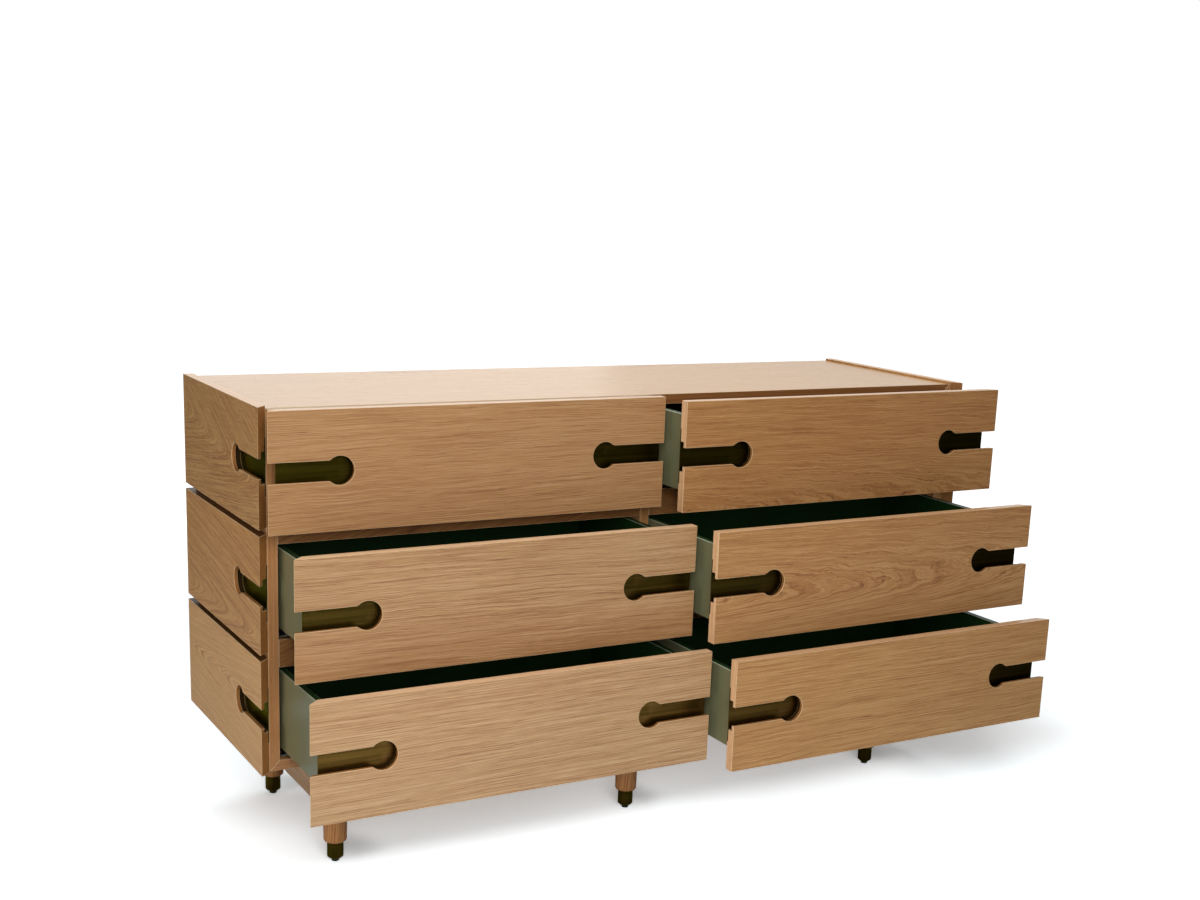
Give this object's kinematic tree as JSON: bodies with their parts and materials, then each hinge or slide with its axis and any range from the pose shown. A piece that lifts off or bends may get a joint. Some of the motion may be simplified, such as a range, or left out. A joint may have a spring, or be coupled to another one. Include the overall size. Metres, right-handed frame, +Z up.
{
  "type": "dresser",
  "caption": "Wide low oak dresser with drawers side by side, wrap-round keyhole finger pulls backed in bronze, green drawer boxes and turned legs on cross beams.",
  "frame": {"origin": "on the floor, at the middle of the outline with the drawers open as posed", "axes": "+X to the right when facing the drawers, +Y from the drawers towards the back, +Z up"},
  "size_m": [1.524, 0.775, 0.8472],
  "materials": {
    "oak": "clear satin oil on straight-grained oak",
    "bronze": "dark brushed bronze",
    "green_lacquer": "satin grey-green lacquer",
    "zinc_steel": "zinc-plated"
  },
  "bodies": {
    "case": {"top_panel": "oak", "bottom_panel": "oak", "carcass_side_left": "oak", "carcass_side_right": "oak", "centre_divider": "oak", "rail_lower_left": "oak", "rail_lower_right": "oak", "rail_upper_left": "oak", "rail_upper_right": "oak", "back_panel": "oak", "side_panel_left_lower": "oak", "side_panel_left_middle": "oak", "side_panel_left_upper": "oak", "side_panel_right_lower": "oak", "side_panel_right_middle": "oak", "side_panel_right_upper": "oak", "side_plate_left_lower": "bronze", "side_plate_left_middle": "bronze", "side_plate_left_upper": "bronze", "side_plate_right_lower": "bronze", "side_plate_right_middle": "bronze", "side_plate_right_upper": "bronze", "runner_left_lower": "zinc_steel", "runner_left_middle": "zinc_steel", "runner_left_upper": "zinc_steel", "runner_centre_lower": "zinc_steel", "runner_centre_middle": "zinc_steel", "runner_centre_upper": "zinc_steel", "runner_right_lower": "zinc_steel", "runner_right_middle": "zinc_steel", "runner_right_upper": "zinc_steel", "base_beam_left": "oak", "base_beam_centre": "oak", "base_beam_right": "oak", "ferrule_front_left": "bronze", "ferrule_front_centre": "bronze", "ferrule_front_right": "bronze", "ferrule_back_left": "bronze", "ferrule_back_centre": "bronze", "ferrule_back_right": "bronze"},
    "drawer_left_lower": {"drawer_front_left_lower": "oak", "drawer_box_left_lower": "green_lacquer", "pull_plate_left_lower": "bronze"},
    "drawer_left_middle": {"drawer_front_left_middle": "oak", "drawer_box_left_middle": "green_lacquer", "pull_plate_left_middle": "bronze"},
    "drawer_left_upper": {"drawer_front_left_upper": "oak", "drawer_box_left_upper": "green_lacquer", "pull_plate_left_upper": "bronze"},
    "drawer_right_lower": {"drawer_front_right_lower": "oak", "drawer_box_right_lower": "green_lacquer", "pull_plate_right_lower": "bronze"},
    "drawer_right_middle": {"drawer_front_right_middle": "oak", "drawer_box_right_middle": "green_lacquer", "pull_plate_right_middle": "bronze"},
    "drawer_right_upper": {"drawer_front_right_upper": "oak", "drawer_box_right_upper": "green_lacquer", "pull_plate_right_upper": "bronze"}
  },
  "joints": [
    {"name": "slide_left_lower", "type": "slide", "parent": "case", "child": "drawer_left_lower", "axis": [0, -1, 0], "range_m": [-0.244, 0.136]},
    {"name": "slide_left_middle", "type": "slide", "parent": "case", "child": "drawer_left_middle", "axis": [0, -1, 0], "range_m": [-0.173, 0.207]},
    {"name": "slide_left_upper", "type": "slide", "parent": "case", "child": "drawer_left_upper", "axis": [0, -1, 0], "range_m": [-0.044, 0.336]},
    {"name": "slide_right_lower", "type": "slide", "parent": "case", "child": "drawer_right_lower", "axis": [0, -1, 0], "range_m": [-0.317, 0.063]},
    {"name": "slide_right_middle", "type": "slide", "parent": "case", "child": "drawer_right_middle", "axis": [0, -1, 0], "range_m": [-0.237, 0.143]},
    {"name": "slide_right_upper", "type": "slide", "parent": "case", "child": "drawer_right_upper", "axis": [0, -1, 0], "range_m": [-0.11, 0.27]}
  ]
}
